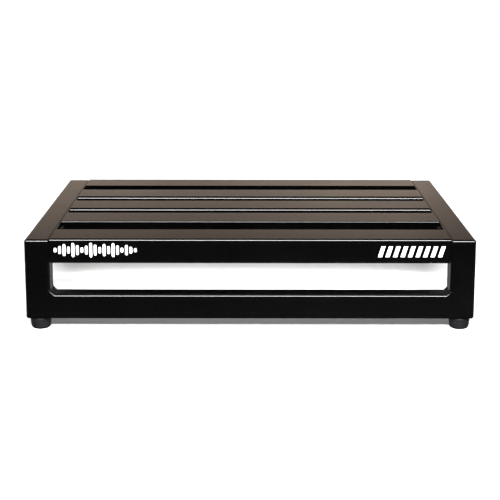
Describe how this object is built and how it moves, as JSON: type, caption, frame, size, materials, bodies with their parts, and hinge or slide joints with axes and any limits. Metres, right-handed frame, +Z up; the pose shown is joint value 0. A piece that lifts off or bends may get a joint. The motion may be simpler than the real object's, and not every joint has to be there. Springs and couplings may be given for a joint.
{
  "type": "pedalboard",
  "caption": "Sloped guitar pedalboard: a welded black tube frame with slotted deck rails, an open riser at the high end and screwed rubber feet.",
  "frame": {"origin": "centre of the footprint, on the floor plane under the feet", "axes": "+Z up; +X across the width; the deck falls from the high end at -Y to the low end at +Y"},
  "size_m": [0.4572, 0.3762, 0.0949],
  "materials": {
    "powder_coat": "satin black powder coat, very fine texture",
    "cap_plastic": "moulded, fine grain",
    "foot_rubber": "moulded rubber, matt",
    "zinc_steel": "bright zinc plate"
  },
  "bodies": {
    "root": {"deck_rail_1": "powder_coat", "deck_rail_2": "powder_coat", "deck_rail_3": "powder_coat", "deck_rail_4": "powder_coat", "deck_rail_5": "powder_coat", "side_rail_left": "powder_coat", "riser_post_left": "powder_coat", "corner_fillet_left": "powder_coat", "end_cap_left": "cap_plastic", "side_rail_right": "powder_coat", "riser_post_right": "powder_coat", "corner_fillet_right": "powder_coat", "end_cap_right": "cap_plastic", "riser_bottom_bar": "powder_coat", "foot_high_left": "foot_rubber", "foot_washer_high_left": "zinc_steel", "foot_screw_high_left": "zinc_steel", "rivet_nut_high_left": "zinc_steel", "foot_high_right": "foot_rubber", "foot_washer_high_right": "zinc_steel", "foot_screw_high_right": "zinc_steel", "rivet_nut_high_right": "zinc_steel", "foot_low_left": "foot_rubber", "foot_washer_low_left": "zinc_steel", "foot_screw_low_left": "zinc_steel", "rivet_nut_low_left": "zinc_steel", "foot_low_right": "foot_rubber", "foot_washer_low_right": "zinc_steel", "foot_screw_low_right": "zinc_steel", "rivet_nut_low_right": "zinc_steel"}
  },
  "joints": []
}
